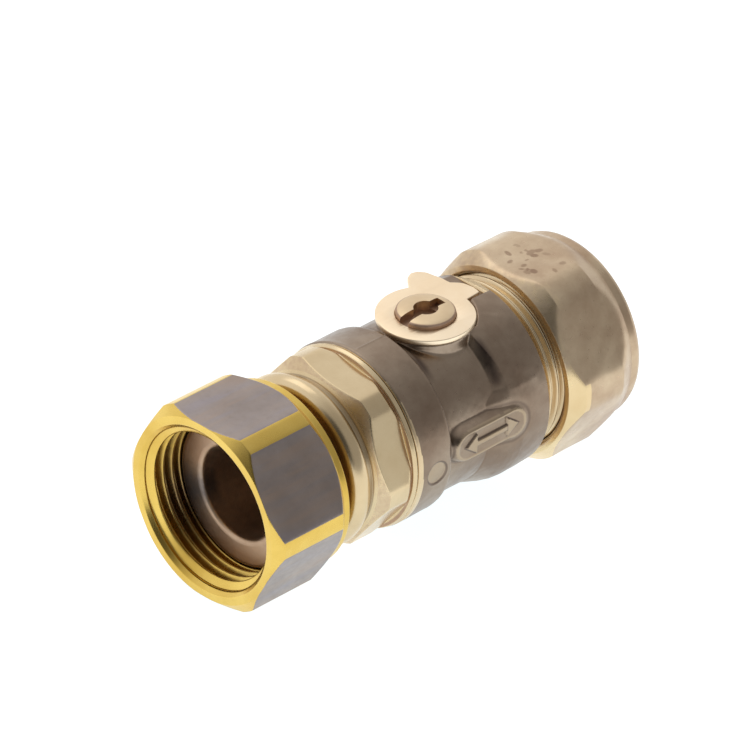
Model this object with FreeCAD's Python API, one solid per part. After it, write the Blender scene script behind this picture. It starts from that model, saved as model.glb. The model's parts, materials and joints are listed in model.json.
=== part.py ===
"""Quarter-turn isolating ball valve with a swivel union nut and a compression tube end.

Frame: X is the flow axis, from the mouth of the swivel nut towards the tube end. The stem
stands along +Z and the forged marking pad faces -Y. Millimetres throughout. The shapes are
drawn with x measured from the nut's mouth face, and main() then moves them all so that the
origin is on the flow axis at the first crest of the nut's thread.
"""
import FreeCAD
import Part
import math
import os

# ---- driving dimensions (mm) -------------------------------------------------
BORE_R = 7.5               # waterway radius, tail to tube stop

# swivel union nut, G 3/4 internal thread
NUT_LENGTH = 16.0
NUT_FLATS = 30.0
NUT_CORNER_R = 16.6
NUT_TURN = 27.5            # corner angle from +Z towards -Y, degrees
NUT_FACE_R = 15.05
NUT_MOUTH_R = 13.8
NUT_REAR_LAND_R = 14.9
THREAD_MINOR_R = 12.06
THREAD_MAJOR_R = 13.22
THREAD_PITCH = 1.814
THREAD_TURNS = 3           # four crests
THREAD_START_X = 1.0       # first crest, and the origin of the finished part
NUT_REAR_HOLE_R = 10.35

# end connector: tail with lip, collar, hexagon and spigot
LIP_X = 6.8
LIP_R = 11.75
NECK_R = 10.0
COLLAR_R = 13.9
TAIL_FLATS = 27.5
TAIL_CORNER_R = 15.1
TAIL_TURN = 37.5
SPIGOT_R = 12.28

# body forging
BODY_FRONT_X = 30.2
BARREL_R = 15.05
WAIST_R = 14.0
REAR_R = 15.6
PAD_X = 45.3               # centre of the oval pad that carries the arrow
PAD_Z = 1.4
SHOULDER_X = 57.5
BODY_END_X = 69.5
TUBE_THREAD_R = 14.0
TUBE_THREAD_PITCH = 1.5
TUBE_THREAD_DEPTH = 0.85
TUBE_SOCKET_R = 11.05
TUBE_STOP_X = 60.5
CAVITY_R = 10.7

# ball, seats and stem
BALL_X = 45.5
BALL_R = 10.0
SEAT_NEAR = 4.2            # distance of a seat's ball side from the ball centre
SEAT_FAR = 8.6
STEM_R = 4.6
STEM_HOLE_R = 4.66
BOSS_R = 7.2
BOSS_TOP_Z = 14.1
PLATE_Z = 14.4
PLATE_THICKNESS = 0.8
PLATE_R = 7.65
STEM_TOP_Z = 16.25
SLOT_WIDTH = 1.8
TANG_WIDTH = 3.0
STEM_COLLAR_R = 5.4
STEM_COLLAR_Z = 10.7
STEM_COLLAR_THICKNESS = 0.5
STEM_WASHER_THICKNESS = 0.25
STEM_PLAY = 0.02           # end play above and below the washer

# compression nut and olive, 22 mm tube
COMP_FRONT_X = 61.3
COMP_END_X = 77.5
COMP_FLATS = 32.0
COMP_CORNER_R = 17.25
COMP_TURN = 29.5
COMP_COLLAR_R = 15.4
COMP_BORE_R = 14.1         # internal thread drawn at its root, clear of the body thread
COMP_TUBE_R = 11.25
OLIVE_BORE_R = 11.05
OLIVE_R = 12.5

X_AXIS = FreeCAD.Vector(1, 0, 0)
Y_AXIS = FreeCAD.Vector(0, 1, 0)
Z_AXIS = FreeCAD.Vector(0, 0, 1)
ORIGIN = FreeCAD.Vector(0, 0, 0)


# ---- helpers -----------------------------------------------------------------
def turned(profile):
    """Solid turned about X from a closed outline of (x, radius) points."""
    points = [FreeCAD.Vector(x, 0, r) for x, r in profile]
    face = Part.Face(Part.makePolygon(points + points[:1]))
    return face.revolve(ORIGIN, X_AXIS, 360)


def turned_upright(profile, x=BALL_X):
    """Solid turned about the stem axis from a closed outline of (radius, z) points."""
    points = [FreeCAD.Vector(x + r, 0, z) for r, z in profile]
    face = Part.Face(Part.makePolygon(points + points[:1]))
    return face.revolve(FreeCAD.Vector(x, 0, 0), Z_AXIS, 360)


def rod(x0, x1, radius):
    """Cylinder along X."""
    return Part.makeCylinder(radius, x1 - x0, FreeCAD.Vector(x0, 0, 0), X_AXIS)


def post(radius, z0, z1, x=BALL_X):
    """Cylinder along Z on the stem axis."""
    return Part.makeCylinder(radius, z1 - z0, FreeCAD.Vector(x, 0, z0), Z_AXIS)


def block(x0, x1, y0, y1, z0, z1):
    """Box between two corners."""
    return Part.makeBox(x1 - x0, y1 - y0, z1 - z0, FreeCAD.Vector(x0, y0, z0))


def around(angle_deg, radius, x=0.0):
    """Point at an angle from +Z towards -Y, at a radius from the flow axis."""
    angle = math.radians(angle_deg)
    return FreeCAD.Vector(x, -radius * math.sin(angle), radius * math.cos(angle))


def hexagon(x0, x1, flats, turn):
    """Hexagonal bar along X with one corner at the angle turn."""
    corner = flats / 2 / math.cos(math.radians(30))
    points = [around(turn + 60 * k, corner, x0) for k in range(6)]
    face = Part.Face(Part.makePolygon(points + points[:1]))
    return face.extrude(X_AXIS * (x1 - x0))


def arc_points(centre_x, centre_r, radius, start_deg, end_deg, steps):
    """Points of a profile arc, angles measured from +x towards +radius."""
    points = []
    for k in range(steps + 1):
        angle = math.radians(start_deg + (end_deg - start_deg) * k / steps)
        points.append((centre_x + radius * math.cos(angle), centre_r + radius * math.sin(angle)))
    return points


def thread_grooves(first_x, count, pitch, crest_r, root_r):
    """Outline of a row of 55 degree V grooves, from the first crest edge to the last."""
    flat = pitch / 6
    flank = (pitch - 2 * flat) / 2
    points = []
    for k in range(count):
        x = first_x + k * pitch
        points.append((x, crest_r))
        points.append((x + flat, crest_r))
        points.append((x + flat + flank, root_r))
        points.append((x + 2 * flat + flank, root_r))
    points.append((first_x + count * pitch, crest_r))
    return points


# ---- sub-parts ---------------------------------------------------------------
def swivel_nut():
    """Hexagon union nut that turns freely on the tail; female thread towards -X."""
    outside = turned([
        (0, 0), (0, NUT_FACE_R), (1.2, NUT_CORNER_R), (13.0, NUT_CORNER_R), (14.65, NUT_REAR_LAND_R + 0.1),
        (14.8, NUT_REAR_LAND_R), (NUT_LENGTH - 0.2, NUT_REAR_LAND_R), (NUT_LENGTH, NUT_REAR_LAND_R - 0.2),
        (NUT_LENGTH, 0)])
    nut = hexagon(0, NUT_LENGTH, NUT_FLATS, NUT_TURN).common(outside)
    thread = thread_grooves(
        THREAD_START_X, THREAD_TURNS, THREAD_PITCH, THREAD_MINOR_R, THREAD_MAJOR_R)
    thread_end = thread[-1][0]
    inside = [(0, 0), (0, NUT_MOUTH_R), (0.45, THREAD_MAJOR_R)] + thread
    inside += [
        (thread_end + 0.3, THREAD_MINOR_R), (thread_end + 0.9, 13.3), (11.2, 13.3),
        (12.6, NUT_REAR_HOLE_R), (NUT_LENGTH, NUT_REAR_HOLE_R), (NUT_LENGTH, 0)]
    return nut.cut(turned(inside))


def end_connector():
    """Tail that the swivel nut turns on, with a hexagon and a spigot screwed into the body."""
    lip = [
        (LIP_X + 0.6, BORE_R), (LIP_X + 0.15, BORE_R + 0.2), (LIP_X, BORE_R + 0.7), (LIP_X, 11.1),
        (LIP_X + 0.12, 11.5), (LIP_X + 0.4, LIP_R), (LIP_X + 1.8, LIP_R), (10.4, NECK_R)]
    collar = [(17.6, NECK_R), (18.2, 11.2)]
    collar += arc_points(20.2, 12.0, COLLAR_R - 12.0, 170, 50, 8)
    collar += [(21.7, 12.7), (22.7, 12.7), (23.0, 13.2)]
    wrench = [(24.2, TAIL_CORNER_R), (28.1, TAIL_CORNER_R), (29.2, 14.2)]
    flange = [(29.2, 14.7), (29.9, 14.9), (BODY_FRONT_X - 0.02, 14.6), (BODY_FRONT_X - 0.02, SPIGOT_R)]
    spigot = [(36.3, SPIGOT_R), (36.3, CAVITY_R - 0.05), (BALL_X - SEAT_FAR - 0.02, CAVITY_R - 0.05)]
    end = [(BALL_X - SEAT_FAR - 0.02, BORE_R)]
    turned_part = turned(lip + collar + wrench + flange + spigot + end)
    start, stop = 23.0, 29.2
    outside_hexagon = rod(start, stop, 20).cut(hexagon(start, stop, TAIL_FLATS, TAIL_TURN))
    return turned_part.cut(outside_hexagon)


def body_outside():
    """Outer form of the forging, before pads, flats and bores."""
    barrel = [(BODY_FRONT_X, 0), (BODY_FRONT_X, BARREL_R - 0.3), (BODY_FRONT_X + 0.3, BARREL_R)]
    barrel += arc_points(36.4, BARREL_R - 1.5, 1.5, 90, 15, 6)
    waist = [(38.4, WAIST_R), (46.6, WAIST_R), (48.6, 15.1), (50.2, 15.5), (52.0, REAR_R + 0.1)]
    rear = [(54.5, REAR_R), (SHOULDER_X - 0.3, REAR_R - 0.1), (SHOULDER_X, REAR_R - 0.4)]
    flat = TUBE_THREAD_PITCH / 6
    flank = TUBE_THREAD_PITCH / 3
    thread = [(SHOULDER_X, TUBE_THREAD_R - TUBE_THREAD_DEPTH)]
    count = int((BODY_END_X - 0.9 - SHOULDER_X) / TUBE_THREAD_PITCH)
    root_r = TUBE_THREAD_R - TUBE_THREAD_DEPTH
    for k in range(count):
        x = SHOULDER_X + 0.3 + k * TUBE_THREAD_PITCH
        thread += [(x, root_r), (x + flank, TUBE_THREAD_R), (x + flank + flat, TUBE_THREAD_R)]
        thread += [(x + 2 * flank + flat, root_r)]
    thread += [(BODY_END_X, root_r), (BODY_END_X, 0)]
    return turned(barrel + waist + rear + thread)


def flow_arrow():
    """Raised double-headed arrow, a generic sign for either flow direction."""
    half_length, half_head, half_shaft, head = 5.6, 1.8, 0.55, 2.4
    tip = half_length - head
    outline = [
        (-half_length, 0), (-tip, half_head), (-tip, half_shaft), (tip, half_shaft), (tip, half_head),
        (half_length, 0), (tip, -half_head), (tip, -half_shaft), (-tip, -half_shaft), (-tip, -half_head)]
    points = [FreeCAD.Vector(PAD_X + x, 0, PAD_Z + z) for x, z in outline]
    face = Part.Face(Part.makePolygon(points + points[:1]))
    return face.extrude(Y_AXIS * -15.75)


def marking_pad():
    """Raised oval pad on the -Y side of the forging, with the arrow on it."""
    half_straight, end_r, face_y = 4.6, 3.0, -15.4
    pad = block(PAD_X - half_straight, PAD_X + half_straight, face_y, -6, PAD_Z - end_r, PAD_Z + end_r)
    for side in (-1, 1):
        centre = FreeCAD.Vector(PAD_X + side * half_straight, face_y, PAD_Z)
        pad = pad.fuse(Part.makeCylinder(end_r, -6 - face_y, centre, Y_AXIS))
    return pad.removeSplitter().fuse(flow_arrow())


def valve_body():
    """Hot-stamped brass body: front barrel, ball chamber, stem boss, tube thread and socket."""
    boss = turned_upright([
        (0, 5), (10.0, 8.0), (8.6, 11.2), (7.6, 12.3), (BOSS_R, 13.0), (BOSS_R, BOSS_TOP_Z - 0.2),
        (BOSS_R - 0.2, BOSS_TOP_Z), (0, BOSS_TOP_Z)])
    body = body_outside().fuse(boss).fuse(marking_pad())
    plate_recess = post(PLATE_R + 0.4, BOSS_TOP_Z, 20)
    step_y = -1.65
    ear_recess = block(BALL_X, SHOULDER_X, step_y, 20, BOSS_TOP_Z, 20)
    body = body.cut(plate_recess).cut(ear_recess)
    ejector_mark = Part.makeCylinder(2.0, 1.0, around(94, 14.95, 34.0), around(94, 1.0))
    body = body.cut(ejector_mark)
    chamber = [
        (BODY_FRONT_X - 1, 0), (BODY_FRONT_X - 1, 12.3), (36.4, 12.3), (36.4, CAVITY_R),
        (BALL_X + SEAT_FAR + 0.02, CAVITY_R), (BALL_X + SEAT_FAR + 0.02, BORE_R),
        (TUBE_STOP_X - 0.6, BORE_R), (TUBE_STOP_X, 9.6), (TUBE_STOP_X, TUBE_SOCKET_R),
        (68.0, TUBE_SOCKET_R), (BODY_END_X, 12.6), (BODY_END_X + 1, 12.6), (BODY_END_X + 1, 0)]
    body = body.cut(turned(chamber))
    body = body.cut(post(STEM_HOLE_R, 5, BOSS_TOP_Z + 1))
    shelf_z = STEM_COLLAR_Z + STEM_COLLAR_THICKNESS + STEM_WASHER_THICKNESS + 2 * STEM_PLAY
    counterbore = post(STEM_COLLAR_R + 0.1, 5, shelf_z)
    return body.cut(counterbore).removeSplitter()


def seat(side):
    """PTFE ring whose spherical face meets the ball; side is -1 at the inlet, +1 at the outlet."""
    near, far = BALL_X + side * SEAT_NEAR, BALL_X + side * SEAT_FAR
    ring = rod(min(near, far), max(near, far), CAVITY_R - 0.05)
    ring = ring.cut(rod(min(near, far) - 1, max(near, far) + 1, BORE_R + 0.1))
    running_clearance = 0.05
    return ring.cut(Part.makeSphere(BALL_R + running_clearance, FreeCAD.Vector(BALL_X, 0, 0)))


def ball():
    """Chromed ball with the waterway along X and a cross slot for the stem tang."""
    sphere = Part.makeSphere(BALL_R, FreeCAD.Vector(BALL_X, 0, 0))
    slot_half = TANG_WIDTH / 2 + 0.05
    sphere = sphere.cut(block(BALL_X - slot_half, BALL_X + slot_half, -12, 12, 8.35, 12))
    return sphere.cut(rod(BALL_X - 12, BALL_X + 12, BORE_R))


def oring_grooves():
    """Centre heights of the two O-ring grooves in the stem."""
    return (12.14, 13.38)


def stem():
    """Blow-out proof stem: tang, inner collar, two O-ring grooves and a slotted head."""
    collar_top = STEM_COLLAR_Z + STEM_COLLAR_THICKNESS
    edge = 0.45
    solid = turned_upright([
        (0, STEM_COLLAR_Z), (STEM_COLLAR_R, STEM_COLLAR_Z), (STEM_COLLAR_R, collar_top),
        (STEM_R, collar_top), (STEM_R, STEM_TOP_Z - edge), (STEM_R - 0.15, STEM_TOP_Z - 0.15),
        (STEM_R - edge, STEM_TOP_Z), (0, STEM_TOP_Z)])
    tang = block(BALL_X - TANG_WIDTH / 2, BALL_X + TANG_WIDTH / 2, -3.6, 3.6, 8.5, STEM_COLLAR_Z)
    solid = solid.fuse(tang)
    groove_half, floor_r = 0.52, 3.64
    for z in oring_grooves():
        groove = post(STEM_R + 1, z - groove_half, z + groove_half)
        solid = solid.cut(groove.cut(post(floor_r, z - 1, z + 1)))
    slot = block(BALL_X - 6, BALL_X + 3.3, -SLOT_WIDTH / 2, SLOT_WIDTH / 2, STEM_TOP_Z - 1.5, 20)
    key_hole = post(1.9, STEM_TOP_Z - 2.2, 20)
    return solid.cut(slot).cut(key_hole).removeSplitter()


def stem_oring(z):
    """Rubber O-ring in a stem groove."""
    section_r = 0.5
    ring_r = 4.14
    return Part.makeTorus(ring_r, section_r, FreeCAD.Vector(BALL_X, 0, z), Z_AXIS)


def stem_washer():
    """PTFE thrust washer between the stem collar and the body."""
    z0 = STEM_COLLAR_Z + STEM_COLLAR_THICKNESS + STEM_PLAY
    ring = post(STEM_COLLAR_R, z0, z0 + STEM_WASHER_THICKNESS)
    return ring.cut(post(STEM_HOLE_R, z0 - 1, z0 + 1))


def stop_plate():
    """Flat plate on the stem with two stop ears on its tube side."""
    polar = [
        (-9.5, 1.07), (-7.5, 1.22), (-5.8, 1.36), (2.5, 1.39), (11, 1.38), (15, 1.355), (23, 1.27),
        (31, 1.35), (39, 1.43), (45, 1.52), (51.5, 1.55), (57, 1.50), (61, 1.35), (63, 1.15), (64.5, 1.0)]
    points = [FreeCAD.Vector(BALL_X, 0, PLATE_Z)]
    for angle_deg, ratio in [(-9.5, 0.9)] + polar + [(64.5, 0.9)]:
        angle = math.radians(angle_deg)
        radius = ratio * PLATE_R
        points.append(FreeCAD.Vector(BALL_X + radius * math.cos(angle), radius * math.sin(angle), PLATE_Z))
    ears = Part.Face(Part.makePolygon(points + points[:1])).extrude(Z_AXIS * PLATE_THICKNESS)
    plate = post(PLATE_R, PLATE_Z, PLATE_Z + PLATE_THICKNESS).fuse(ears)
    return plate.cut(post(STEM_R + 0.03, PLATE_Z - 1, PLATE_Z + 2)).removeSplitter()


def olive():
    """Brass compression ring that grips the tube."""
    return turned([
        (69.0, OLIVE_BORE_R), (69.0, 11.6), (70.2, OLIVE_R), (72.7, OLIVE_R), (73.9, 11.6),
        (73.9, OLIVE_BORE_R)])


def compression_nut():
    """Hexagon nut that closes the olive on the tube, with a round collar at its far end."""
    outside = turned([
        (COMP_FRONT_X, 0), (COMP_FRONT_X, 15.6), (63.5, COMP_CORNER_R), (71.6, COMP_CORNER_R),
        (75.2, COMP_COLLAR_R), (COMP_END_X - 0.9, COMP_COLLAR_R), (COMP_END_X - 0.3, COMP_COLLAR_R - 0.3),
        (COMP_END_X, COMP_COLLAR_R - 0.9), (COMP_END_X, 0)])
    wrench = hexagon(COMP_FRONT_X, 75.2, COMP_FLATS, COMP_TURN)
    collar = rod(75.2, COMP_END_X, COMP_COLLAR_R)
    nut = wrench.fuse(collar).common(outside)
    inside = [
        (COMP_FRONT_X, 0), (COMP_FRONT_X, 14.6), (COMP_FRONT_X + 0.6, COMP_BORE_R), (71.8, COMP_BORE_R),
        (72.6, 13.4), (75.0, COMP_TUBE_R), (COMP_END_X, COMP_TUBE_R), (COMP_END_X, 0)]
    return nut.cut(turned(inside)).removeSplitter()


def main():
    """Write one STEP file per sub-part, in the finished part's own frame."""
    lower_groove, upper_groove = oring_grooves()
    parts = {
        "swivel_nut": swivel_nut(),
        "end_connector": end_connector(),
        "valve_body": valve_body(),
        "seat_inlet": seat(-1),
        "seat_outlet": seat(1),
        "ball": ball(),
        "stem": stem(),
        "stem_oring_lower": stem_oring(lower_groove),
        "stem_oring_upper": stem_oring(upper_groove),
        "stem_washer": stem_washer(),
        "stop_plate": stop_plate(),
        "olive": olive(),
        "compression_nut": compression_nut(),
    }
    os.makedirs("parts", exist_ok=True)
    for name, shape in parts.items():
        if shape.ShapeType != "Solid" and len(shape.Solids) == 1:
            shape = shape.Solids[0]
        shape.translate(X_AXIS * -THREAD_START_X)
        print(name, "solids", len(shape.Solids), "valid", shape.isValid(), "volume %.1f" % shape.Volume)
        shape.exportStep("parts/%s.step" % name)


main()
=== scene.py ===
"""Looks for the isolating ball valve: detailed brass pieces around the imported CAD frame.

Lengths in the shape functions are millimetres, measured like the CAD part's own drawing: x from
the swivel nut's mouth face along the flow axis. t is the angle round that axis from +Z towards -Y.
"""
import bmesh
import bpy
import json
import math
import numpy as np
from mathutils import Vector, Matrix


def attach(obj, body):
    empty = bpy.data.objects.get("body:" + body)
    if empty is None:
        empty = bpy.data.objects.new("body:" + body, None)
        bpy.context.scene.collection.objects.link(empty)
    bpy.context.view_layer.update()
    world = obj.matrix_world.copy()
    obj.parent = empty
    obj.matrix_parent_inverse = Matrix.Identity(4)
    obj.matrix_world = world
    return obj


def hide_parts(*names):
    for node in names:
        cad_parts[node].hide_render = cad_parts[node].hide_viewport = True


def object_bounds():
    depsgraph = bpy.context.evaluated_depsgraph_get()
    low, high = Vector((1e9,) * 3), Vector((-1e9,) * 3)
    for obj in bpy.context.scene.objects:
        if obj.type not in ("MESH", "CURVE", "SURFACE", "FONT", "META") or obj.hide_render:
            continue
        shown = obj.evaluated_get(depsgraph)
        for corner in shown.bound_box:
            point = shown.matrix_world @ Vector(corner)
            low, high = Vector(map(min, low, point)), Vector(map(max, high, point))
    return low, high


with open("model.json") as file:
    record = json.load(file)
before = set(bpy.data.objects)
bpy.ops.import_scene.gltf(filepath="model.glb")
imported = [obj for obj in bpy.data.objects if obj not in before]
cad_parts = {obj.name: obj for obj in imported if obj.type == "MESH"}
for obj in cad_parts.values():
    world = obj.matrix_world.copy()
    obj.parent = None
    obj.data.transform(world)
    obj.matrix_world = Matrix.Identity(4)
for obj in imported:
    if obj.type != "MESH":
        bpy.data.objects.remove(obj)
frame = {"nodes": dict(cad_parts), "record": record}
cad_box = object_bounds()

MM = 0.001
ORIGIN_X = 1.0             # the frame's origin lies this far inside the nut's mouth face
BALL_X = 45.5
PAD_X, PAD_Z = 45.0, 1.1    # centre of the marking pad
PAD_HALF, PAD_R = 4.6, 3.0  # its half straight length and end radius
PAD_BLEND = 0.45           # how far inside the pad's outline its wall starts
NUT_FLATS, NUT_TURN = 30.0, 27.5            # hexagons: width across flats, and one corner's angle in degrees
TAIL_FLATS, TAIL_TURN = 27.5, 37.5
COMP_FLATS, COMP_TURN = 32.0, 29.5
EJECTOR_X, EJECTOR_TURN, EJECTOR_R = 34.0, 94, 14.95
BOSS_TOP, BOSS_R = 14.1, 7.2
PLATE_R, PLATE_HOLE_R = 7.65, 4.63
PLATE_GAP_R = 7.72         # the recess under the stop plate ends at this radius
STOP_STEP_Y = 1.65         # and, behind the stem, at a step this far towards -Y
STEM_TOP = 16.25
TAU = 2 * math.pi

# what a row of a turned grid belongs to
OUTER, THREAD, INNER, LIP, NECK = 0, 1, 2, 3, 4


# ---- small maths ---------------------------------------------------------------
def smooth_min(a, b, k):
    """Smaller of two fields, with the crease rounded over about k."""
    return -k * np.logaddexp(-a / k, -b / k)


def smooth_max(a, b, k):
    """Larger of two fields, with the crease rounded over about k."""
    return k * np.logaddexp(a / k, b / k)


def ramp(x, low, high):
    """0 below low, 1 above high, smooth between."""
    s = np.clip((x - low) / (high - low), 0, 1)
    return s * s * (3 - 2 * s)


def value_noise(x, y, z, scale, seed=0.0):
    """Cheap smooth noise in about -1..1, from a few rotated sine products."""
    u, v, w = x / scale, y / scale, z / scale
    total = np.zeros_like(u)
    for k in range(4):
        a = 1.7 * k + seed
        total = total + np.sin(u * (1.3 + 0.61 * k) + 2.1 * np.sin(v * (0.9 + 0.37 * k) + a)
                               + 1.7 * np.cos(w * (1.1 + 0.43 * k) - a) + 3.0 * a) / (1.0 + 0.5 * k)
    return total / 2.4


# ---- grids turned about the flow axis --------------------------------------------
def stations(points, step, near=0.12):
    """Points along a profile: dense beside each corner, at most step apart between."""
    out = []
    for (x0, r0), (x1, r1) in zip(points, points[1:]):
        length = math.hypot(x1 - x0, r1 - r0)
        count = max(1, math.ceil(length / step))
        marks = [k / count for k in range(count)]
        if length > 3 * near:
            marks += [near / length, 1 - near / length]
        for s in sorted(set(marks)):
            out.append((x0 + (x1 - x0) * s, r0 + (r1 - r0) * s))
    out.append(points[-1])
    return out


def closed_grid(name, rows, turns, radius):
    """Closed mesh from a loop of (x, r, tag) rows, each turned about X; radius(x, r, t, tag) shapes it."""
    t = np.linspace(0, TAU, turns, endpoint=False)
    x = np.array([row[0] for row in rows])[:, None] * np.ones((1, turns))
    r = np.array([row[1] for row in rows])[:, None] * np.ones((1, turns))
    tag = np.array([row[2] for row in rows])[:, None] * np.ones((1, turns), int)
    angle = np.ones((len(rows), 1)) * t[None, :]
    r = radius(x, r, angle, tag)
    y, z = -r * np.sin(angle), r * np.cos(angle)
    points = np.stack([x - ORIGIN_X, y, z], -1) * MM
    n, m = x.shape
    i = np.arange(n)[:, None] * np.ones((1, m), int)
    j = np.ones((n, 1), int) * np.arange(m)[None, :]
    a, b = i * m + j, i * m + (j + 1) % m
    i2 = (i + 1) % n
    c, d = i2 * m + (j + 1) % m, i2 * m + j
    quads = np.stack([a, d, c, b], -1).reshape(-1, 4)
    obj = mesh_object(name, points.reshape(-1, 3), quads)
    # the sunken field darkens hollows and thread valleys: partly dirt, partly painted shade
    wear, dirt_and_shade = curvature(points)
    add_attribute(obj, "wear", wear.reshape(-1))
    add_attribute(obj, "dirt_and_shade", dirt_and_shade.reshape(-1))
    return obj, x, r, angle, tag


def curvature(points):
    """How much each grid point stands out from, or sinks below, its neighbours, as two 0..1 fields."""
    mean = np.zeros_like(points)
    for axis in (0, 1):
        for shift in (-2, -1, 1, 2):
            mean += np.roll(points, shift, axis) / 8
    du = np.roll(points, -1, 0) - np.roll(points, 1, 0)
    dv = np.roll(points, -1, 1) - np.roll(points, 1, 1)
    normal = np.cross(dv, du)
    size = np.linalg.norm(normal, axis=-1, keepdims=True)
    normal = normal / np.maximum(size, 1e-15)
    height = ((points - mean) * normal).sum(-1) / MM
    reach = np.linalg.norm(du, axis=-1) / MM + np.linalg.norm(dv, axis=-1) / MM
    bend = height / np.maximum(reach, 0.05)
    return np.clip(bend * 6, 0, 1), np.clip(-bend * 6, 0, 1)


def mesh_object(name, points, faces):
    """Smooth-shaded mesh object with its normals facing out."""
    mesh = bpy.data.meshes.new(name)
    mesh.from_pydata([tuple(p) for p in points], [], [tuple(int(k) for k in f) for f in faces])
    mesh.update()
    obj = bpy.data.objects.new(name, mesh)
    bpy.context.scene.collection.objects.link(obj)
    corners = np.asarray(points)[np.asarray(faces)[:, :3]]
    volume = np.einsum("ij,ij->i", corners[:, 0], np.cross(corners[:, 1], corners[:, 2])).sum()
    if volume < 0:
        mesh.flip_normals()
    mesh.polygons.foreach_set("use_smooth", [True] * len(mesh.polygons))
    return obj


def add_attribute(obj, name, values):
    """Point attribute that the materials read."""
    attribute = obj.data.attributes.get(name) or obj.data.attributes.new(name, "FLOAT", "POINT")
    attribute.data.foreach_set("value", np.asarray(values, dtype=np.float32))


def scale_attribute(obj, name, factor):
    """Multiplies a point attribute."""
    values = np.zeros(len(obj.data.vertices), dtype=np.float32)
    obj.data.attributes[name].data.foreach_get("value", values)
    obj.data.attributes[name].data.foreach_set("value", values * factor)


def tagged(points, tag, step, near=0.12):
    """Profile rows with a tag that tells the radius function what they belong to."""
    return [(x, r, tag) for x, r in stations(points, step, near)]


def loop(*stretches):
    """Joins stretches into one closed loop without doubled rows."""
    rows = []
    for stretch in stretches:
        for row in stretch:
            if not rows or math.hypot(row[0] - rows[-1][0], row[1] - rows[-1][1]) > 1e-6:
                rows.append(row)
    if math.hypot(rows[0][0] - rows[-1][0], rows[0][1] - rows[-1][1]) < 1e-6:
        rows.pop()
    return rows


def hexagon_radius(t, flats, turn_deg):
    """Distance from the axis to a hexagon's side at angle t, with a corner at turn_deg."""
    sixth = math.radians(60)
    from_corner = (t - math.radians(turn_deg)) % sixth
    return flats / 2 / np.cos(from_corner - sixth / 2)


def helix_radius(x, t, start, pitch, crest, root):
    """Radius of a right-hand V thread that has a crest at start; flats are a sixth of the pitch."""
    phase = ((x - start) / pitch + t / TAU) % 1.0
    flat = 1 / 6
    flank = 1 / 3
    falling = np.clip((phase - flat) / flank, 0, 2)
    rising = np.clip((1 - phase) / flank, 0, 2)
    depth = np.clip(smooth_min(falling, rising, 0.06), 0, 1)
    return crest + (root - crest) * depth


# ---- swivel union nut ------------------------------------------------------------
def swivel_nut():
    """Union nut: hexagon with turned-down corners, chamfered mouth and a real helical thread."""
    relief_r = 12.2
    outside = tagged([(0, 14.0), (0, 15.05)], OUTER, 0.35)
    outside += tagged([(0, 15.05), (1.2, 16.6)], OUTER, 0.12)
    outside += tagged([(1.2, 16.6), (13.0, 16.6)], OUTER, 1.2)
    outside += tagged([(13.0, 16.6), (14.65, 15.0), (14.8, 14.9), (15.8, 14.9), (15.93, 14.83),
                       (16.0, 14.7)], OUTER, 0.1)
    rear = tagged([(16.0, 14.7), (16.0, 10.45), (15.9, 10.35), (12.6, 10.35), (11.2, 13.3), (9.6, 13.3),
                   (8.9, relief_r), (7.9, relief_r)], INNER, 0.8)
    thread_rows = [(x, 12.6, THREAD) for x in np.arange(7.8, 0.62, -0.09)]
    mouth = tagged([(0.6, 13.2), (0.0, 13.8), (0, 14.0)], INNER, 0.2)
    rows = loop(outside, rear, thread_rows, mouth)

    def radius(x, r, t, tag):
        outer = smooth_min(r, hexagon_radius(t, NUT_FLATS, NUT_TURN), 0.07)
        outer = np.where((x <= 1e-6) & (r < 15.0), r, outer)
        helix = helix_radius(x, t, start=1.0, pitch=1.814, crest=12.06, root=13.22)
        fade_out = ramp(x, 6.5, 6.9)
        fade_in = 1 - ramp(x, 0.6, 1.5)
        helix = helix * (1 - fade_out) + relief_r * fade_out
        helix = helix * (1 - fade_in) + np.maximum(helix, 13.2) * fade_in
        r = np.where(tag == OUTER, outer, r)
        return np.where(tag == THREAD, helix, r)

    obj, x, r, t, tag = closed_grid("swivel_nut_detail", rows, 540, radius)
    turned_r = np.interp(x, [0, 1.2, 13.0, 14.65, 16.0], [15.05, 16.6, 16.6, 15.0, 13.7])
    on_flat = hexagon_radius(t, NUT_FLATS, NUT_TURN) < turned_r
    tarnish = np.where((tag == OUTER) & on_flat & (x > 0.01), 1.0, 0.0)
    add_attribute(obj, "tarnish", tarnish.reshape(-1))
    # painted shade inside the nut: darker deeper in and on the hidden rear faces, plus a painted dark
    # reflection on the lower side's threads
    low_side = np.exp(-((np.degrees(t) - 242) / 42) ** 2)
    inside = np.where(tag == OUTER, 0.0, ramp(x, 1.2, 4.4))
    behind = (tag != OUTER) & (x > 9)
    add_attribute(obj, "stain_and_shade", np.where(behind, 0.55, inside * (0.32 + 0.5 * low_side)).reshape(-1))
    scale_attribute(obj, "dirt_and_shade", 0.35)
    return obj


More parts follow.
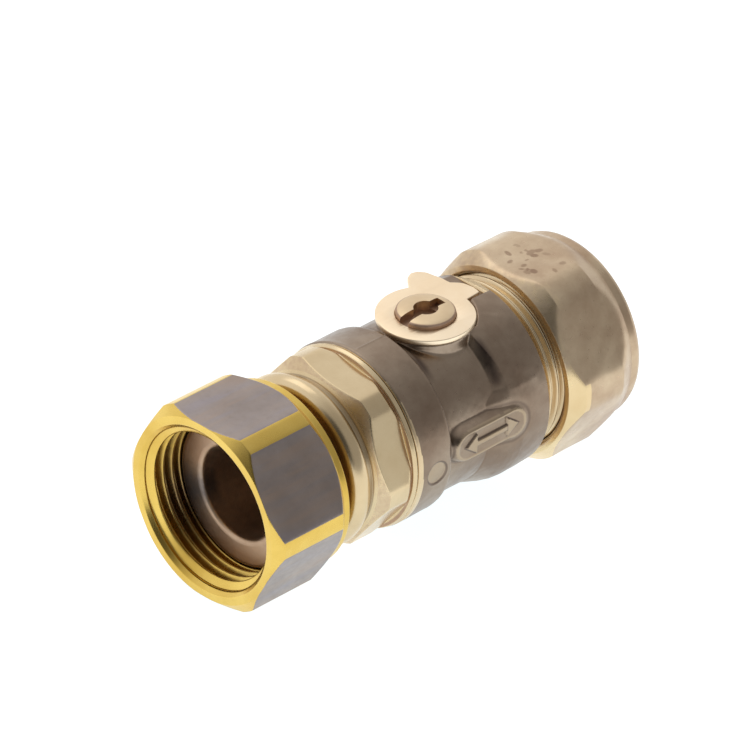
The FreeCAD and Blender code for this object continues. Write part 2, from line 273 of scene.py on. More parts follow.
# ---- end connector ---------------------------------------------------------------
def end_connector():
    """Tail with its flared lip, collar, groove, hexagon and flange ring."""
    hex_start, hex_end = 23.0, 29.2
    bead_x, bead_r, bead_section = 20.2, 12.0, 1.9
    lip = tagged([(7.5, 7.5), (7.2, 7.55), (6.98, 7.72), (6.86, 7.98), (6.8, 8.35), (6.8, 11.2), (6.83, 11.5),
                  (6.92, 11.8), (7.08, 11.96), (7.3, 12.0), (8.4, 12.0), (10.4, 10.0)], LIP, 0.3)
    neck = tagged([(10.4, 10.0), (17.6, 10.0), (18.2, 11.2)], NECK, 0.8)
    bead = [(bead_x + bead_section * math.cos(math.radians(a)),
             bead_r + bead_section * math.sin(math.radians(a)), INNER) for a in range(170, 48, -4)]
    groove = tagged([(21.42, 13.45), (21.7, 12.7), (22.7, 12.7), (23.0, 13.15)], INNER, 0.2, 0.06)
    cone = tagged([(23.0, 13.15), (24.2, 15.1)], OUTER, 0.09)
    land = tagged([(24.2, 15.1), (28.1, 15.1)], OUTER, 0.4)
    rear_cone = tagged([(28.1, 15.1), (29.2, 14.2)], OUTER, 0.09)
    flange = tagged([(29.2, 14.2), (29.25, 14.7), (29.9, 14.9), (30.15, 14.6), (30.15, 12.28), (36.3, 12.28),
                     (36.3, 10.65), (36.88, 10.65), (36.88, 7.5)], INNER, 0.8)
    bore = tagged([(36.88, 7.5), (7.5, 7.5)], LIP, 1.5)
    rows = loop(lip, neck, bead, groove, cone, land, rear_cone, flange, bore)

    def radius(x, r, t, tag):
        inside_ends = ramp(x, hex_start, hex_start + 0.15) * (1 - ramp(x, hex_end - 0.1, hex_end))
        shaped = smooth_min(r, hexagon_radius(t, TAIL_FLATS, TAIL_TURN), 0.07)
        return np.where(tag == OUTER, r + (shaped - r) * inside_ends, r)

    obj, x, r, t, tag = closed_grid("end_connector_detail", rows, 540, radius)
    lens = (x > 29.15) & (x < 29.3) & (r < 14.6)
    inside_flats = hexagon_radius(t, TAIL_FLATS, TAIL_TURN) > r + 0.1
    cone = (tag == OUTER) & (x < 24.3) & (r > 13.3) & inside_flats
    film = np.where(cone, 0.45, np.where(lens, 0.7, 0.0))
    add_attribute(obj, "tarnish", np.where((tag == LIP) | (tag == NECK), 1.0, film).reshape(-1))
    low_side = np.exp(-((np.degrees(t) - 250) / 26) ** 2)
    face = np.where(tag == LIP, low_side * (1 - ramp(x, 9, 10)), 0.0)
    # painted shade in the bore, darker further in
    bore = np.where((tag == LIP) & (r < 7.6), ramp(x, 7.3, 9.0), 0.0)
    add_attribute(obj, "stain_and_shade", np.maximum(face * 0.85, bore * 0.1).reshape(-1))
    # painted shade in the groove behind the collar
    in_groove = (tag != NECK) & (x > 21.65) & (x < 22.9) & (r < 13)
    add_attribute(obj, "dirt_and_shade", np.where(in_groove, 0.6, 0.0).reshape(-1))
    return obj


# ---- valve body ------------------------------------------------------------------
def barrel_radius(x):
    """Forged outline before bosses and pads: front barrel, waist, rear barrel."""
    xs = [30.2, 30.5, 36.5, 36.95, 37.2, 37.4, 37.55, 37.75, 38.3, 47.3, 47.6,
          49.6, 50.6, 51.8, 54.5, 57.2, 57.5]
    rs = [14.75, 15.05, 15.05, 14.98, 14.8, 14.5, 14.1, 13.84, 13.92, 14.0, 14.05,
          15.3, 15.52, 15.65, 15.6, 15.5, 15.2]
    return np.interp(x, xs, rs)


def rear_shoulder(x, t):
    """Moves the rear barrel's front slope: short beside the boss, long and then gentle down the side."""
    turn = np.degrees(t)
    turn = np.minimum(turn, 360 - turn)
    length = 0.7 + 1.5 * ramp(turn, 26, 62)
    lower = ramp(turn, 63, 70)
    start = 47.6 - 1.8 * lower
    length = length + 1.6 * lower
    unmoved = np.where(x > 51.8, x, np.minimum(x, 47.6))
    return np.where((x > start) & (x < 51.8), warp(x, start, length), unmoved)


def warp(x, start, length):
    """Stretches the slope between 47.6 and 49.6 to the given start and length."""
    inside = 47.6 + (x - start) * 2.0 / length
    beyond = 49.6 + (x - start - length) * (51.8 - 49.6) / np.maximum(51.8 - start - length, 0.1)
    return np.where(x < start + length, inside, beyond)


def stem_boss_radius(x, t, floor):
    """Radius of the upright boss round the stem, seen from the flow axis."""
    dx = x - BALL_X
    up = np.cos(t)
    reach = np.sqrt(np.clip(BOSS_R ** 2 - dx ** 2, 0, None))
    wall = reach / np.maximum(np.abs(np.sin(t)), 1e-3)
    cap = BOSS_TOP / np.maximum(up, 1e-3)
    boss = np.minimum(wall, cap)
    return np.where((up > 0.3) & (np.abs(dx) < BOSS_R), boss, floor)


def arrow_depth(u, v):
    """Positive inside a double-headed arrow centred on u = v = 0, in millimetres."""
    half_length, half_head, half_shaft, head = 5.6, 1.8, 0.55, 2.4
    a = np.abs(u)
    in_head = np.minimum((half_length - a) * half_head / head, half_head) - np.abs(v)
    in_head = np.where(a > half_length - head, in_head * 0.8, -1.0)
    in_shaft = np.minimum(half_shaft - np.abs(v), half_length - head + 0.1 - a)
    return np.maximum(in_head, in_shaft)


def pad_distance(u, v):
    """How far a point of the pad's plane lies outside the top edge of its wall."""
    return np.hypot(np.maximum(np.abs(u) - PAD_HALF, 0), v) - (PAD_R - PAD_BLEND)


def ejector_distance(x, t):
    """Distance over the surface from the centre of the ejector mark."""
    return np.hypot(x - EJECTOR_X, EJECTOR_R * (t - math.radians(EJECTOR_TURN)))


def pad_radius(x, t, base):
    """Radius of the flat-topped oval pad on the -Y side, with its raised arrow."""
    face_y = 15.4
    side = np.sin(t)
    facing = side > 0.6
    flat = face_y / np.where(facing, side, 1.0)
    u, v = x - PAD_X, flat * np.cos(t) - PAD_Z
    outside = pad_distance(u, v)
    mark = 0.4 * ramp(arrow_depth(u, v), -0.04, 0.14)
    rim = 0.14 * np.exp(-((outside + 0.2) / 0.28) ** 2)
    moat = 0.14 * np.exp(-((outside - 0.7) / 0.6) ** 2)
    pad = flat - 0.2 + mark - smooth_max(outside, 0 * outside, 0.15) * 1.7 + rim
    return np.where(facing, smooth_max(base - moat, pad, 0.12), base)


def forged_radius(x, t):
    """Outer surface of the forging."""
    base = barrel_radius(rear_shoulder(x, t))
    boss = stem_boss_radius(x, t, base - 3)
    r = smooth_max(base, boss, 0.3)
    r = pad_radius(x, t, r)
    y, z = -r * np.sin(t), r * np.cos(t)
    grain = value_noise(x, y, z, 2.2) * 0.035 + value_noise(x, y, z, 0.8, 2.0) * 0.012
    machined = ramp(x, 30.9, 31.3) * (1 - ramp(x, 57.1, 57.3))
    r = r + grain * machined - 0.03
    split = np.abs(y)
    seam = 0.09 * np.exp(-(split / 0.13) ** 2) - 0.05 * (y > 0)
    r = r + seam * machined
    ridge = np.exp(-((np.degrees(t) - 65) / 2.2) ** 2) * ramp(x, 49, 50) * (1 - ramp(x, 54.8, 55.8))
    r = r + 0.05 * ridge
    dx = x - BALL_X
    up = np.cos(t)
    ceiling = BOSS_TOP / np.maximum(up, 0.2)
    outside_plate = np.maximum(np.hypot(dx, y) - PLATE_GAP_R, 0)
    outside_ears = np.maximum(np.maximum(-(y + STOP_STEP_Y), -dx), 0)
    limit = ceiling + np.minimum(outside_plate * 7, outside_ears * 5)
    r = np.where(up > 0.3, smooth_min(r, limit, 0.05), r)
    mark = ejector_distance(x, t)
    return r - 0.26 * (1 - ramp(mark, 1.75, 2.0)) + 0.05 * np.exp(-((mark - 2.15) / 0.15) ** 2)


def valve_body():
    """Hot-stamped body with forging grain, parting seam, pad, arrow and male thread."""
    outside = [(x, 15.0, OUTER) for x in np.arange(30.2, 57.5, 0.15)]
    outside.append((57.5, 15.2, OUTER))
    front = tagged([(30.2, 12.3), (30.2, 14.7)], INNER, 0.4)
    shoulder = tagged([(57.5, 15.15), (57.6, 13.3)], INNER, 0.3)
    thread = [(x, 13.5, THREAD) for x in np.arange(57.7, 69.2, 0.12)]
    inside = tagged([(69.5, 13.15), (69.5, 12.6), (68.0, 11.05), (60.5, 11.05), (60.5, 9.6), (59.9, 7.5),
                     (54.12, 7.5), (54.12, 10.7), (36.4, 10.7), (36.4, 12.3), (30.2, 12.3)], INNER, 1.2)
    rows = loop(front, outside, shoulder, thread, inside)

    def radius(x, r, t, tag):
        outer = forged_radius(x, t)
        helix = helix_radius(x, t, start=57.9, pitch=1.5, crest=13.98, root=13.15)
        run_out = 1 - ramp(x, 57.7, 58.4)
        helix = helix + (13.3 - helix) * run_out
        helix = np.minimum(helix, 13.98 - np.maximum(x - 68.6, 0))
        r = np.where(tag == OUTER, outer, r)
        return np.where(tag == THREAD, helix, r)

    obj, x, r, t, tag = closed_grid("valve_body_detail", rows, 540, radius)
    crescent = 0.12 + 0.85 * np.clip(np.cos(t - math.radians(112)), 0, 1) ** 1.5
    machined = (tag != OUTER) | (x - 30.2 < crescent) | (x > 57.3)
    add_attribute(obj, "tarnish", np.where(machined, 0.0, 1.0).reshape(-1))
    y, z = -r * np.sin(t), r * np.cos(t)
    u, v = x - PAD_X, z - PAD_Z
    edge = pad_distance(u, v)
    near = (y < -13.2) & (tag == OUTER)
    mark = arrow_depth(u, v)
    rubbed = np.where(near & (edge < 0.05) & ((mark > 0.12) | (edge > -0.5)), 0.9, 0.0)
    rubbed = np.where(near & (edge < -0.5) & (mark < 0.0), 0.35, rubbed)
    # painted shade: a dark moat round the pad, dark outlines along the arrow's edges and round the ejector
    # mark's rim
    painted_shade = np.exp(-((edge - 0.75) / 0.35) ** 2) * 0.6
    painted_shade = np.maximum(painted_shade, np.exp(-((mark + 0.02) / 0.12) ** 2) * (edge < 0)) * near
    ejector = np.where(tag == OUTER, ejector_distance(x, t), 99.0)
    painted_shade = np.maximum(painted_shade, np.exp(-((ejector - 1.98) / 0.17) ** 2) * 0.85)
    add_attribute(obj, "wear", np.maximum(rubbed, (ejector < 1.8) * 0.9).reshape(-1))
    add_attribute(obj, "dirt_and_shade", np.maximum(painted_shade, (tag == OUTER) * step_painted_shade(x, t)).reshape(-1))
    return obj


def step_painted_shade(x, t):
    """Painted shade and painted dark reflection on the front barrel's step, beside the boss, and in the rear
    shoulder's hollow.
    """
    turn = np.degrees(t)
    beside_boss = np.exp(-((turn - 27) / 12) ** 2) + np.exp(-((turn - 333) / 12) ** 2)
    line = np.exp(-((x - 37.65) / 0.2) ** 2)
    pool = np.exp(-((x - 38.4) / 0.7) ** 2) * beside_boss
    side = np.minimum(turn, 360 - turn)
    hollow = np.exp(-((x - 48.6) / 0.75) ** 2) * ramp(side, 25, 36) * (1 - ramp(side, 56, 64))
    return np.clip(line * 0.75 + pool + hollow * 0.9, 0, 1)


# ---- compression nut ---------------------------------------------------------------
def compression_nut():
    """Forged hexagon nut with soft corners, machined front cone and a round collar."""
    outside = tagged([(61.3, 15.0), (61.3, 15.6)], OUTER, 0.3)
    outside += tagged([(61.3, 15.6), (63.5, 17.25)], OUTER, 0.13)
    outside += tagged([(63.5, 17.25), (71.6, 17.25)], OUTER, 0.16)
    outside += tagged([(71.6, 17.25), (75.2, 15.4), (76.5, 15.4), (77.0, 15.2), (77.35, 14.85),
                       (77.5, 14.4)], OUTER, 0.16)
    collar = tagged([(77.5, 14.4), (77.5, 11.4), (77.35, 11.25),
                     (75.0, 11.25), (72.6, 13.4), (71.8, 14.1)], INNER, 0.5)
    bore = [(x, 14.1, THREAD) for x in np.arange(71.7, 61.95, -0.15)]
    mouth = tagged([(61.9, 14.12), (61.3, 14.6), (61.3, 15.0)], INNER, 0.2)
    rows = loop(outside, collar, bore, mouth)

    def radius(x, r, t, tag):
        outer = smooth_min(r, hexagon_radius(t, COMP_FLATS, COMP_TURN), 0.22)
        outer = np.where(x <= 61.31, np.minimum(r, outer), outer)
        y, z = -r * np.sin(t), r * np.cos(t)
        grain = value_noise(x, y, z, 2.4, 5.0) * 0.03 * ramp(x, 63.0, 64.0)
        grain = grain * ramp(r, 14.9, 15.2)
        return np.where(tag == OUTER, outer + grain - 0.03, r)

    obj, x, r, t, tag = closed_grid("compression_nut_detail", rows, 480, radius)
    cone = np.interp(x, [61.3, 63.5, 71.6, 75.2], [15.6, 17.25, 17.25, 15.4])
    front_cut = (x < 64.5) & (hexagon_radius(t, COMP_FLATS, COMP_TURN) > cone - 0.05)
    low = ramp(np.degrees(t), 66, 84) * (1 - ramp(np.degrees(t), 200, 220))
    cover = np.where(front_cut, 0.62 - 0.62 * low, 1.0)
    add_attribute(obj, "tarnish", np.where(tag == OUTER, cover, 0.6).reshape(-1))
    add_attribute(obj, "stain_and_shade", water_spots(x, r, t).reshape(-1))
    return obj


def water_spots(x, r, t):
    """A few small drying marks on the upper flats of the compression nut."""
    marks = np.random.default_rng(7)
    total = np.zeros_like(x)
    for _ in range(18):
        centre_x, centre_t = marks.uniform(64.2, 71.0), math.radians(marks.normal(-2, 9))
        size, lean, stretch = marks.uniform(0.26, 0.68), marks.uniform(0, math.pi), marks.uniform(1.0, 1.9)
        u, v = x - centre_x, r * (t - centre_t)
        v = np.where(v > math.pi * r, v - TAU * r, v)
        p, q = u * math.cos(lean) + v * math.sin(lean), v * math.cos(lean) - u * math.sin(lean)
        distance = np.hypot(p / stretch, q) / size
        total = np.maximum(total, (1 - ramp(distance, 0.7, 1.1)) * marks.uniform(0.5, 0.9))
    return total


# ---- stop plate and stem -----------------------------------------------------------
def ear_outline():
    """Outline of the stop plate seen from above, as (x, y) from the stem axis."""
    angles = [-9.5, -7.5, -5.8, -1.5, 2.5, 11, 15, 19, 23, 27,
              31, 35, 39, 45, 51.5, 57, 61, 63, 64.5]
    ratios = [1.0, 1.18, 1.36, 1.38, 1.39, 1.38, 1.355, 1.31, 1.27, 1.30,
              1.35, 1.39, 1.43, 1.52, 1.55, 1.50, 1.35, 1.15, 1.0]
    outline = []
    for k in range(360 * 2):
        degrees = -180 + k / 2
        ratio = np.interp(degrees, angles, ratios, left=1.0, right=1.0)
        outline.append((PLATE_R * ratio * math.cos(math.radians(degrees)),
                        PLATE_R * ratio * math.sin(math.radians(degrees))))
    return outline


def stop_plate():
    """Blanked plate with softly rolled edges and a hole for the stem."""
    bottom, top, edge = 14.4, 15.2, 0.13
    curve = bpy.data.curves.new("stop_plate_outline", "CURVE")
    curve.dimensions = "2D"
    curve.fill_mode = "BOTH"
    hole = [(PLATE_HOLE_R * math.cos(TAU * k / 128), PLATE_HOLE_R * math.sin(TAU * k / 128))
            for k in range(128)]
    for outline in (ear_outline(), hole):
        spline = curve.splines.new("POLY")
        spline.points.add(len(outline) - 1)
        for point, (x, y) in zip(spline.points, outline):
            point.co = (x * MM, y * MM, 0, 1)
        spline.use_cyclic_u = True
    curve.extrude = ((top - bottom) / 2 - edge) * MM
    curve.bevel_depth = edge * MM
    curve.bevel_resolution = 2
    curve.offset = -edge * MM
    drawn = bpy.data.objects.new("stop_plate_drawn", curve)
    bpy.context.scene.collection.objects.link(drawn)
    graph = bpy.context.evaluated_depsgraph_get()
    mesh = bpy.data.meshes.new_from_object(drawn.evaluated_get(graph))
    bpy.data.objects.remove(drawn)
    mesh.transform(Matrix.Translation(((BALL_X - ORIGIN_X) * MM, 0, (top + bottom) / 2 * MM)))
    obj = bpy.data.objects.new("stop_plate_detail", mesh)
    bpy.context.scene.collection.objects.link(obj)
    shaded_by_angle(obj)
    z = np.array([v.co.z for v in mesh.vertices]) / MM
    on_edge = np.minimum(np.abs(z - top), np.abs(z - bottom)) < edge * 0.9
    rim = (np.abs(z - top) > 0.01) & (np.abs(z - bottom) > 0.01)
    add_attribute(obj, "wear", np.where(on_edge & rim, 0.8, 0.0))
    add_attribute(obj, "dirt_and_shade", np.zeros(len(z)))
    add_attribute(obj, "tarnish", np.zeros(len(z)))
    return obj


def shaded_by_angle(obj):
    """Smooth shading that keeps edges sharper than 35 degrees and flat faces flat."""
    mesh = obj.data
    work = bmesh.new()
    work.from_mesh(mesh)
    bmesh.ops.remove_doubles(work, verts=work.verts, dist=1e-7)
    for face in work.faces:
        face.smooth = True
    for edge in work.edges:
        edge.smooth = len(edge.link_faces) == 2 and edge.calc_face_angle(0) < math.radians(35)
    work.to_mesh(mesh)
    work.free()
    keep_flat = obj.modifiers.new("normals", "WEIGHTED_NORMAL")
    keep_flat.keep_sharp = True


def upright_turned(name, profile, turns=192):
    """Solid of revolution about the stem axis from (radius, z) points; the ends lie on the axis."""
    points = [(0, 0, profile[0][1])]
    for r, z in profile[1:-1]:
        for k in range(turns):
            angle = TAU * k / turns
            points.append((r * math.cos(angle), r * math.sin(angle), z))
    points.append((0, 0, profile[-1][1]))
    faces = []
    rings = len(profile) - 2
    for k in range(turns):
        faces.append((0, 1 + (k + 1) % turns, 1 + k))
    for i in range(rings - 1):
        for k in range(turns):
            a, b = 1 + i * turns + k, 1 + i * turns + (k + 1) % turns
            faces.append((a, b, b + turns, a + turns))
    last = len(points) - 1
    for k in range(turns):
        faces.append((1 + (rings - 1) * turns + k, 1 + (rings - 1) * turns + (k + 1) % turns, last))
    mesh = bpy.data.meshes.new(name)
    mesh.from_pydata([((x + BALL_X - ORIGIN_X) * MM, y * MM, z * MM) for x, y, z in points], [], faces)
    obj = bpy.data.objects.new(name, mesh)
    bpy.context.scene.collection.objects.link(obj)
    return obj


def cutter_box(x0, x1, half_width, z0, z1):
    """Box used to cut the screwdriver slot."""
    corners = [(x, y, z) for x in (x0, x1) for y in (-half_width, half_width) for z in (z0, z1)]
    faces = [(0, 1, 3, 2), (4, 6, 7, 5), (0, 4, 5, 1), (2, 3, 7, 6), (0, 2, 6, 4), (1, 5, 7, 3)]
    mesh = bpy.data.meshes.new("slot_cutter")
    mesh.from_pydata([((x + BALL_X - ORIGIN_X) * MM, y * MM, z * MM) for x, y, z in corners], [], faces)
    obj = bpy.data.objects.new("slot_cutter", mesh)
    bpy.context.scene.collection.objects.link(obj)
    return obj


def stem():
    """Stem with a rounded head, an open slot and a deeper round hole at its centre."""
    top = STEM_TOP
    profile = [(0, 10.7), (5.4, 10.7), (5.4, 11.2), (4.6, 11.2), (4.6, top - 0.62), (4.55, top - 0.46),
               (4.42, top - 0.33), (4.2, top - 0.24), (3.7, top - 0.12), (3.1, top - 0.04), (2.5, top),
               (0, top)]
    obj = upright_turned("stem_detail", profile)
    slot = cutter_box(-6.0, 3.3, 0.9, top - 1.3, top + 1)
    hole_r, hole_floor = 1.9, top - 1.9
    hole = upright_turned(
        "hole_cutter", [(0, hole_floor), (hole_r, hole_floor), (hole_r, top + 1), (0, top + 1)], 64)
    for cutter in (slot, hole):
        cut = obj.modifiers.new("cut", "BOOLEAN")
        cut.object = cutter
        cut.operation = "DIFFERENCE"
        cut.solver = "EXACT"
    bevel = obj.modifiers.new("bevel", "BEVEL")
    bevel.width = 0.14 * MM
    bevel.segments = 3
    bevel.limit_method = "ANGLE"
    bevel.angle_limit = math.radians(40)
    bake_modifiers(obj)
    for cutter in (slot, hole):
        bpy.data.objects.remove(cutter)
    shaded_by_angle(obj)
    place = np.array([v.co for v in obj.data.vertices]) / MM
    side = np.hypot(place[:, 0] - (BALL_X - ORIGIN_X), place[:, 1])
    in_slot = (place[:, 2] < top - 0.3) & (side < 4.5)
    add_attribute(obj, "wear", np.zeros(len(place)))
    add_attribute(obj, "dirt_and_shade", np.where(in_slot, 0.1, 0.0))
    add_attribute(obj, "tarnish", np.where((side > 4.5) | in_slot, 0.8, 0.0))
    return obj


def bake_modifiers(obj):
    """Applies the object's modifiers to its mesh."""
    graph = bpy.context.evaluated_depsgraph_get()
    mesh = bpy.data.meshes.new_from_object(obj.evaluated_get(graph))
    obj.modifiers.clear()
    obj.data = mesh


# ---- materials ---------------------------------------------------------------------
class Nodes:
    """Short way to build a node tree."""

    def __init__(self, name):
        self.material = bpy.data.materials.new(name)
        self.material.use_nodes = True
        self.tree = self.material.node_tree
        self.shader = self.tree.nodes["Principled BSDF"]
        self.place = self.add("ShaderNodeTexCoord").outputs["Object"]

    def add(self, kind, **settings):
        """New node with its settings."""
        node = self.tree.nodes.new(kind)
        for key, value in settings.items():
            setattr(node, key, value)
        return node

    def link(self, source, target):
        """Connects two sockets."""
        self.tree.links.new(source, target)

    def put(self, socket, value):
        """Links a socket, or sets its value."""
        if isinstance(value, bpy.types.NodeSocket):
            self.link(value, socket)
        else:
            socket.default_value = value

    def noise(self, scale, detail=4.0, roughness=0.55, stretch=(1, 1, 1)):
        """Noise in real metres; scale is features per metre."""
        mapping = self.add("ShaderNodeMapping")
        mapping.inputs["Scale"].default_value = stretch
        self.link(self.place, mapping.inputs["Vector"])
        node = self.add("ShaderNodeTexNoise")
        node.inputs["Scale"].default_value = scale
        node.inputs["Detail"].default_value = detail
        node.inputs["Roughness"].default_value = roughness
        self.link(mapping.outputs["Vector"], node.inputs["Vector"])
        return node.outputs["Fac"]

    def attribute(self, name):
        """A point attribute of the mesh."""
        node = self.add("ShaderNodeAttribute", attribute_name=name)
        return node.outputs["Fac"]

    def span(self, value, low, high, to_low=0.0, to_high=1.0):
        """Maps low..high to to_low..to_high, clamped."""
        node = self.add("ShaderNodeMapRange")
        node.clamp = True
        self.put(node.inputs["Value"], value)
        node.inputs["From Min"].default_value = low
        node.inputs["From Max"].default_value = high
        node.inputs["To Min"].default_value = to_low
        node.inputs["To Max"].default_value = to_high
        return node.outputs["Result"]

    def maths(self, operation, a, b):
        """Maths node on two values."""
        node = self.add("ShaderNodeMath", operation=operation)
        self.put(node.inputs[0], a)
        self.put(node.inputs[1], b)
        return node.outputs[0]

    def mix(self, factor, a, b):
        """Mix of two colours."""
        node = self.add("ShaderNodeMix", data_type="RGBA")
        self.put(node.inputs[0], factor)
        self.put(node.inputs[6], a)
        self.put(node.inputs[7], b)
        return node.outputs[2]

    def bump(self, height, strength, distance):
        """Bump from a height field."""
        node = self.add("ShaderNodeBump")
        node.inputs["Strength"].default_value = strength
        node.inputs["Distance"].default_value = distance
        self.put(node.inputs["Height"], height)
        self.link(node.outputs["Normal"], self.shader.inputs["Normal"])


def rgb(red, green, blue):
    """Linear colour with alpha from 0..255 display values."""
    def linear(value):
        value /= 255
        return value / 12.92 if value <= 0.04045 else ((value + 0.055) / 1.055) ** 2.4
    return (linear(red), linear(green), linear(blue), 1.0)


def brass(name, clean, clean_dark, stained, stained_dark, stain_and_shade=None, rough_clean=0.24, rough_stained=0.4,
          streaks=0.0):
    """Brass with machined areas, tarnished areas, mottling, turning marks, stains, dirt, painted shade and
    worn edges.
    """
    n = Nodes(name)
    cloud = n.noise(90, 5.0, 0.6)
    speckle = n.noise(900, 6.0, 0.65)
    fine = n.noise(5200, 3.0, 0.6)
    rings = n.noise(60, 2.0, 0.5, (90, 1, 1))
    drawn = n.noise(260, 3.0, 0.6, (0.12, 1, 1))
    bright = n.mix(n.span(cloud, 0.35, 0.65), clean, clean_dark)
    dull = n.mix(n.span(cloud, 0.36, 0.64), stained, stained_dark)
    dull = n.mix(n.span(speckle, 0.55, 0.75, 0.0, 0.3), dull, stained_dark)
    if streaks:
        dull = n.mix(n.span(drawn, 0.5, 0.7, 0.0, streaks), dull, rgb(176, 146, 120))
        dull = n.mix(n.span(drawn, 0.48, 0.3, 0.0, streaks), dull, rgb(142, 140, 158))
    jitter = n.maths("MULTIPLY", n.maths("SUBTRACT", speckle, 0.5), 0.5)
    cover = n.span(n.maths("ADD", n.attribute("tarnish"), jitter), 0.35, 0.65)
    rubbing = n.maths("MULTIPLY", n.attribute("wear"), n.span(cloud, 0.3, 0.7, 0.5, 1.1))
    worn = n.span(rubbing, 0.2, 0.9, 0.0, 0.4)
    cover = n.maths("MULTIPLY", cover, n.maths("SUBTRACT", 1.0, worn))
    colour = n.mix(cover, bright, dull)
    if stain_and_shade:
        # real stains such as water spots, and painted shade inside the swivel nut and the tail's bore
        patchy = n.maths("ADD", n.attribute("stain_and_shade"), n.maths("MULTIPLY", jitter, 0.8))
        stain_and_shade_cover = n.span(patchy, 0.2, 0.9, 0.0, 0.9)
        colour = n.mix(stain_and_shade_cover, colour, stain_and_shade)
    # dark brown in hollows and creases: partly dirt, partly painted shade
    colour = n.mix(n.span(n.attribute("dirt_and_shade"), 0.15, 0.95, 0.0, 0.8), colour, rgb(82, 68, 62))
    n.link(colour, n.shader.inputs["Base Color"])
    n.shader.inputs["Metallic"].default_value = 1.0
    rough = n.add("ShaderNodeMix", data_type="FLOAT")
    n.put(rough.inputs[0], cover)
    n.put(rough.inputs[2], n.span(cloud, 0.3, 0.7, rough_clean, rough_clean + 0.08))
    n.put(rough.inputs[3], n.span(speckle, 0.3, 0.7, rough_stained, rough_stained + 0.12))
    n.link(rough.outputs[0], n.shader.inputs["Roughness"])
    grain = n.maths("MULTIPLY", n.maths("ADD", fine, speckle), n.span(cover, 0, 1, 0.12, 1.0))
    marks = n.maths("MULTIPLY", rings, n.span(cover, 0, 1, 0.3, 0.0))
    n.bump(n.maths("ADD", grain, marks), 0.3, 0.00002)
    return n.material


def plain(name, colour, dark, rough, metal):
    """Simple mottled finish for the inner pieces."""
    n = Nodes(name)
    cloud = n.noise(400, 4.0)
    n.link(n.mix(n.span(cloud, 0.35, 0.65), colour, dark), n.shader.inputs["Base Color"])
    n.link(n.span(cloud, 0.3, 0.7, rough, rough + 0.12), n.shader.inputs["Roughness"])
    n.shader.inputs["Metallic"].default_value = metal
    n.bump(n.noise(6000, 3.0), 0.3, 0.00002)
    return n.material


def materials():
    """One finish per material slot."""
    return {
        # the swivel nut's stain colour is painted shade and painted dark reflection inside the nut
        "swivel_nut_brass": brass(
            "swivel_nut_brass", rgb(230, 196, 104), rgb(214, 177, 84), rgb(158, 146, 141), rgb(142, 130, 124),
            stain_and_shade=rgb(104, 82, 72), rough_stained=0.3, streaks=0.45),
        "tail_brass": brass(
            "tail_brass", rgb(223, 201, 163), rgb(210, 186, 147), rgb(206, 178, 150), rgb(184, 154, 130),
            stain_and_shade=rgb(100, 96, 98), rough_clean=0.2, rough_stained=0.38),
        "forged_brass": brass(
            "forged_brass", rgb(224, 203, 168), rgb(212, 187, 150), rgb(160, 142, 124), rgb(134, 114, 97),
            rough_stained=0.26),
        "compression_nut_brass": brass(
            "compression_nut_brass", rgb(232, 208, 164), rgb(220, 192, 146), rgb(212, 190, 160),
            rgb(180, 153, 126), stain_and_shade=rgb(146, 118, 96), rough_stained=0.26),
        "plate_brass": brass(
            "plate_brass", rgb(254, 234, 204), rgb(248, 224, 190), rgb(214, 186, 146), rgb(190, 160, 124),
            rough_clean=0.34),
        "stem_brass": brass(
            "stem_brass", rgb(230, 206, 170), rgb(214, 188, 152), rgb(196, 166, 144), rgb(166, 136, 114),
            rough_clean=0.32),
        "olive_brass": plain("olive_brass", rgb(226, 190, 110), rgb(200, 164, 90), 0.25, 1.0),
        "ball_chrome": plain("ball_chrome", rgb(215, 215, 218), rgb(190, 190, 196), 0.08, 1.0),
        "ptfe": plain("ptfe", rgb(236, 234, 226), rgb(222, 220, 212), 0.5, 0.0),
        "nitrile_rubber": plain("nitrile_rubber", rgb(30, 30, 31), rgb(20, 20, 21), 0.6, 0.0),
    }


# ---- the object ----------------------------------------------------------------------
finishes = materials()
pieces = (
    (swivel_nut(), "swivel_nut", "union_nut", "swivel_nut_brass"),
    (end_connector(), "end_connector", "body", "tail_brass"),
    (valve_body(), "valve_body", "body", "forged_brass"),
    (compression_nut(), "compression_nut", "compression_nut", "compression_nut_brass"),
    (stop_plate(), "stop_plate", "stem_and_ball", "plate_brass"),
    (stem(), "stem", "stem_and_ball", "stem_brass"),
)
for piece, node, body, slot in pieces:
    piece.data.materials.clear()
    piece.data.materials.append(finishes[slot])
    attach(piece, body)
    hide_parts(node)

slot_of = {row["node"]: row["material_slot"] for row in frame["record"]["subparts"]}
for name, node in frame["nodes"].items():
    node.data.materials.clear()
    node.data.materials.append(finishes[slot_of[name]])


# ---- floor, light and camera -----------------------------------------------------------
def floor():
    """Pale sweep that the valve lies on."""
    lowest = cad_box[0][2]
    size = 3.0
    mesh = bpy.data.meshes.new("floor")
    corners = [(-size, -size, 0), (size, -size, 0), (size, size, 0), (-size, size, 0)]
    mesh.from_pydata([(x, y, lowest - 0.0001) for x, y, z in corners], [], [(0, 1, 2, 3)])
    obj = bpy.data.objects.new("floor", mesh)
    bpy.context.scene.collection.objects.link(obj)
    n = Nodes("floor_white")
    paper = n.noise(40, 3.0)
    glow = n.mix(n.span(paper, 0.3, 0.7), (0.87, 0.98, 1.03, 1), (0.86, 0.975, 1.025, 1))
    n.shader.inputs["Base Color"].default_value = (0.50, 0.40, 0.36, 1)
    n.shader.inputs["Roughness"].default_value = 0.9
    n.shader.inputs["Specular IOR Level"].default_value = 0.0
    n.link(glow, n.shader.inputs["Emission Color"])
    n.shader.inputs["Emission Strength"].default_value = 1.0
    obj.data.materials.append(n.material)


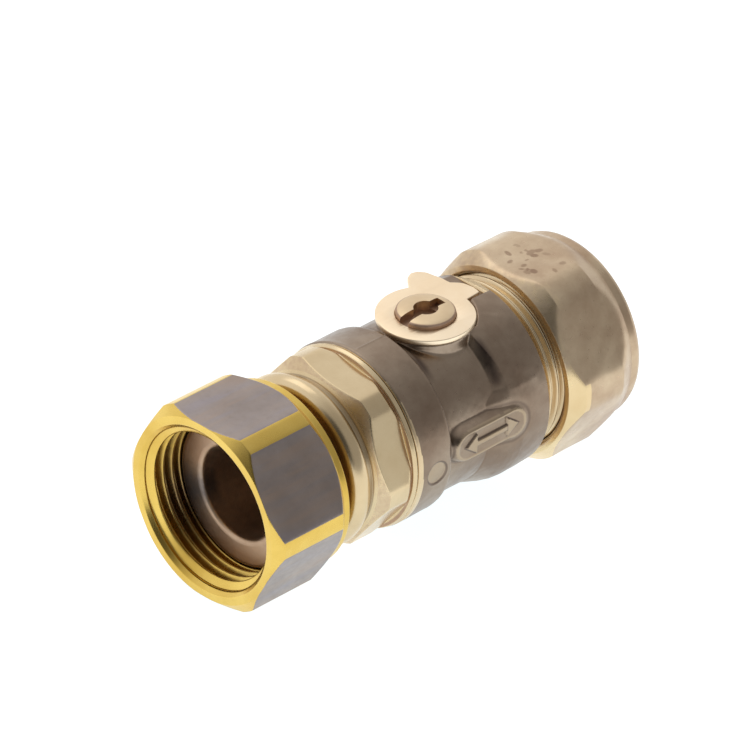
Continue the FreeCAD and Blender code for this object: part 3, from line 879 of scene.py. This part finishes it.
def sky():
    """Soft white tent: bright behind the valve, dimmer in front, with a dark opening at the front left."""
    world = bpy.data.worlds.new("studio")
    bpy.context.scene.world = world
    world.use_nodes = True
    tree = world.node_tree
    coordinate = tree.nodes.new("ShaderNodeTexCoord")
    split = tree.nodes.new("ShaderNodeSeparateXYZ")
    tree.links.new(coordinate.outputs["Generated"], split.inputs[0])
    back = tree.nodes.new("ShaderNodeMapRange")
    back.interpolation_type = "SMOOTHSTEP"
    for name, value in (("From Min", -0.5), ("From Max", 0.75), ("To Min", 0.40), ("To Max", 0.98)):
        back.inputs[name].default_value = value
    tree.links.new(split.outputs["Y"], back.inputs["Value"])
    toward = tree.nodes.new("ShaderNodeVectorMath")
    toward.operation = "DOT_PRODUCT"
    toward.inputs[1].default_value = (-0.796, -0.429, 0.429)
    tree.links.new(coordinate.outputs["Generated"], toward.inputs[0])
    opening = tree.nodes.new("ShaderNodeMapRange")
    opening.interpolation_type = "SMOOTHSTEP"
    for name, value in (("From Min", 0.76), ("From Max", 0.94), ("To Min", 1.0), ("To Max", 0.18)):
        opening.inputs[name].default_value = value
    tree.links.new(toward.outputs["Value"], opening.inputs["Value"])
    strength = tree.nodes.new("ShaderNodeMath")
    strength.operation = "MULTIPLY"
    tree.links.new(back.outputs["Result"], strength.inputs[0])
    tree.links.new(opening.outputs["Result"], strength.inputs[1])
    tree.nodes["Background"].inputs["Color"].default_value = (1.0, 1.0, 1.0, 1)
    tree.links.new(strength.outputs[0], tree.nodes["Background"].inputs["Strength"])


def lamp(name, place, target, size, power):
    """Square soft box aimed at a point; distances in metres."""
    data = bpy.data.lights.new(name, "AREA")
    data.shape = "SQUARE"
    data.size = size
    data.energy = power
    obj = bpy.data.objects.new(name, data)
    obj.location = place
    obj.rotation_euler = (Vector(place) - Vector(target)).to_track_quat("Z", "Y").to_euler()
    bpy.context.scene.collection.objects.link(obj)


def camera():
    """Long lens from the valve's mouth side, above and to the left of the flow axis."""
    azimuth, elevation, roll = math.radians(-45.17), math.radians(33.24), math.radians(1.91)
    distance = 1.0
    aim = Vector((35.17 - ORIGIN_X, 0.0, 8.66)) * MM
    back = Vector((math.sin(azimuth) * math.cos(elevation), -math.cos(azimuth) * math.cos(elevation),
                   math.sin(elevation)))
    level = Vector((math.cos(azimuth), math.sin(azimuth), 0))
    upright = back.cross(level)
    right = level * math.cos(roll) + upright * math.sin(roll)
    up = upright * math.cos(roll) - level * math.sin(roll)
    data = bpy.data.cameras.new("camera")
    data.sensor_width = 36.0
    data.lens = 320.6
    data.clip_start = 0.01
    obj = bpy.data.objects.new("camera", data)
    turn = Matrix((right, up, back)).transposed()
    obj.matrix_world = Matrix.Translation(aim + back * distance) @ turn.to_4x4()
    bpy.context.scene.collection.objects.link(obj)
    bpy.context.scene.camera = obj


floor()
sky()
middle = (0.036, 0.0, 0.0)
lamp("overhead", (0.15, 0.55, 0.75), middle, 0.6, 0.6)
camera()
bpy.context.scene.view_settings.view_transform = "Standard"
